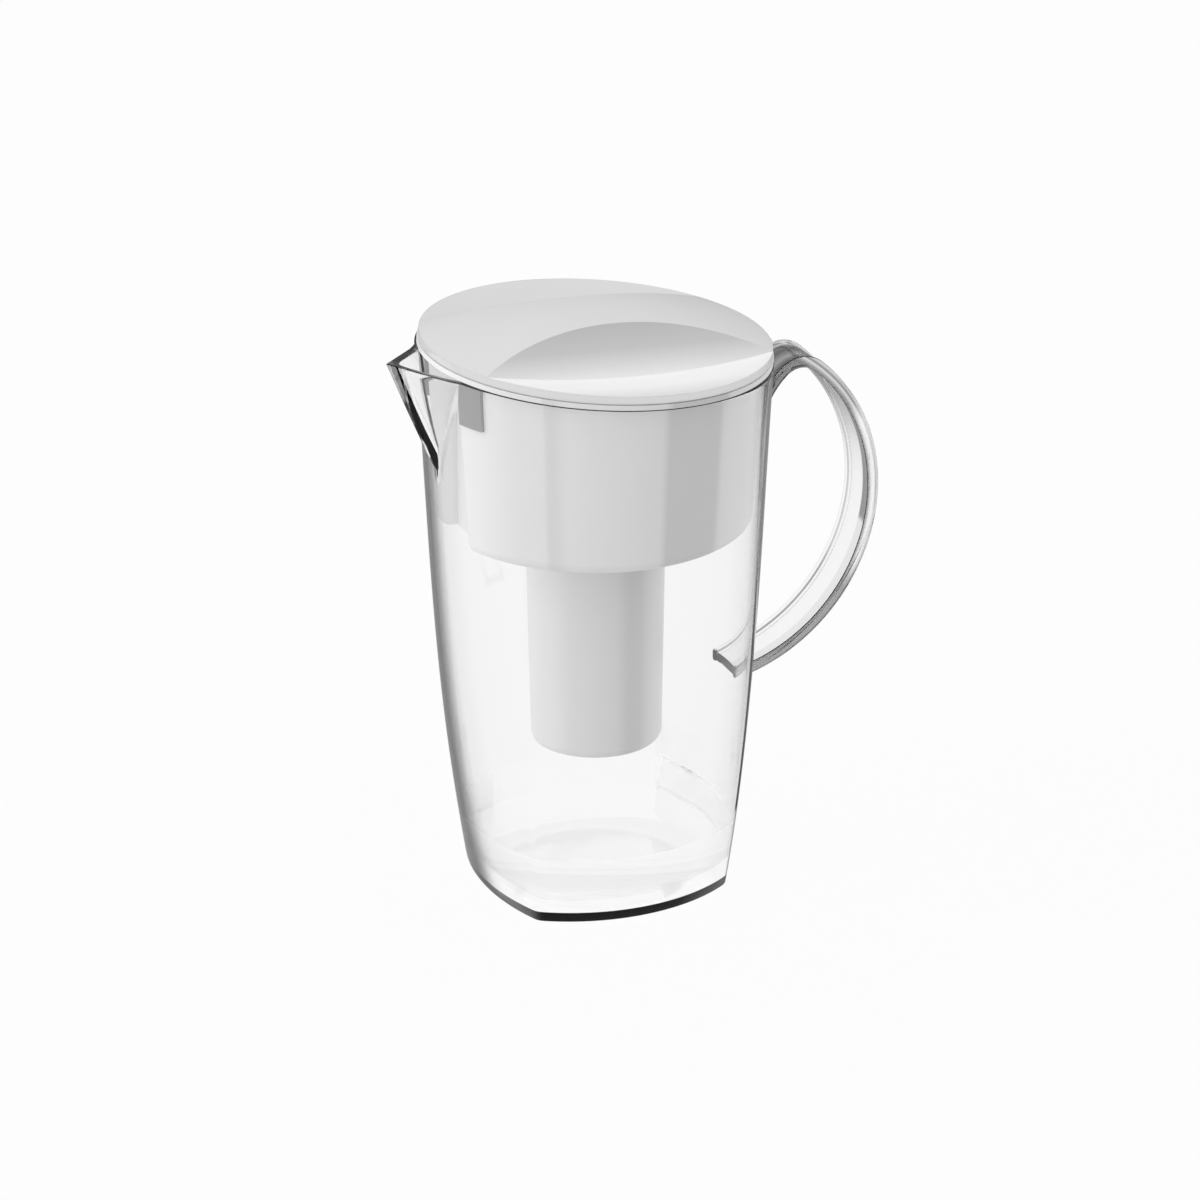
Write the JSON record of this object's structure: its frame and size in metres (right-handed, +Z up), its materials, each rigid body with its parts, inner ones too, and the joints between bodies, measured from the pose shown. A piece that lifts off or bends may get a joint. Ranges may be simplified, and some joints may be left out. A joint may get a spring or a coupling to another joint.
{
  "type": "water filter pitcher with flip lid",
  "caption": "Clear water filter pitcher: square-based jug with V spout and ribbon handle, drop-in reservoir with sleeve and lift-out cartridge, and a domed flip lid with finger scoops.",
  "frame": {"origin": "centre of the square base, on the table", "axes": "+Z up, -X towards the spout, +X towards the handle, +Y to the side so that the part mirrors about the XZ plane"},
  "size_m": [0.226, 0.1526, 0.2623],
  "materials": {
    "clear_plastic": "clear moulded plastic, polished",
    "white_gloss": "glossy white moulded plastic",
    "white_satin": "satin white moulded plastic",
    "grey_pad": "soft grey elastomer",
    "cartridge_white": "satin light blue-grey plastic",
    "pull_blue": "blue moulded plastic",
    "seal_dark": "dark silicone rubber",
    "rod_steel": "drawn stainless steel rod",
    "mesh": "fine woven plastic mesh",
    "felt": "white needled felt",
    "carbon": "packed black carbon granules",
    "resin": "packed amber resin beads"
  },
  "bodies": {
    "jug": {"jug_body": "clear_plastic", "handle": "clear_plastic"},
    "reservoir": {"reservoir_tub": "white_satin", "cartridge_sleeve": "white_satin", "pad_front": "grey_pad", "pad_back": "grey_pad"},
    "lid": {"lid_shell": "white_gloss", "lid_liner": "white_satin", "hinge_rod": "rod_steel"},
    "cartridge": {"cartridge_housing": "cartridge_white", "cartridge_cap": "cartridge_white", "seal_ring": "seal_dark", "inlet_screen": "mesh", "felt_top": "felt", "carbon_bed": "carbon", "felt_middle": "felt", "resin_bed": "resin", "felt_bottom": "felt", "outlet_screen": "mesh"},
    "pull": {"pull_ring": "pull_blue"}
  },
  "joints": [
    {"name": "reservoir_lift", "type": "slide", "parent": "jug", "child": "reservoir", "axis": [0, 0, 1], "range_m": [0, 0.2]},
    {"name": "lid_hinge", "type": "hinge", "parent": "reservoir", "child": "lid", "pos_m": [0.07283, 0, 0.24099], "axis": [0, 1, 0], "range_deg": [0, 95]},
    {"name": "cartridge_lift", "type": "slide", "parent": "reservoir", "child": "cartridge", "axis": [0, 0, 1], "range_m": [0, 0.04]},
    {"name": "ring_fold", "type": "hinge", "parent": "cartridge", "child": "pull", "pos_m": [0, 0, 0.1851], "axis": [0, 1, 0], "range_deg": [-90, 0]}
  ]
}
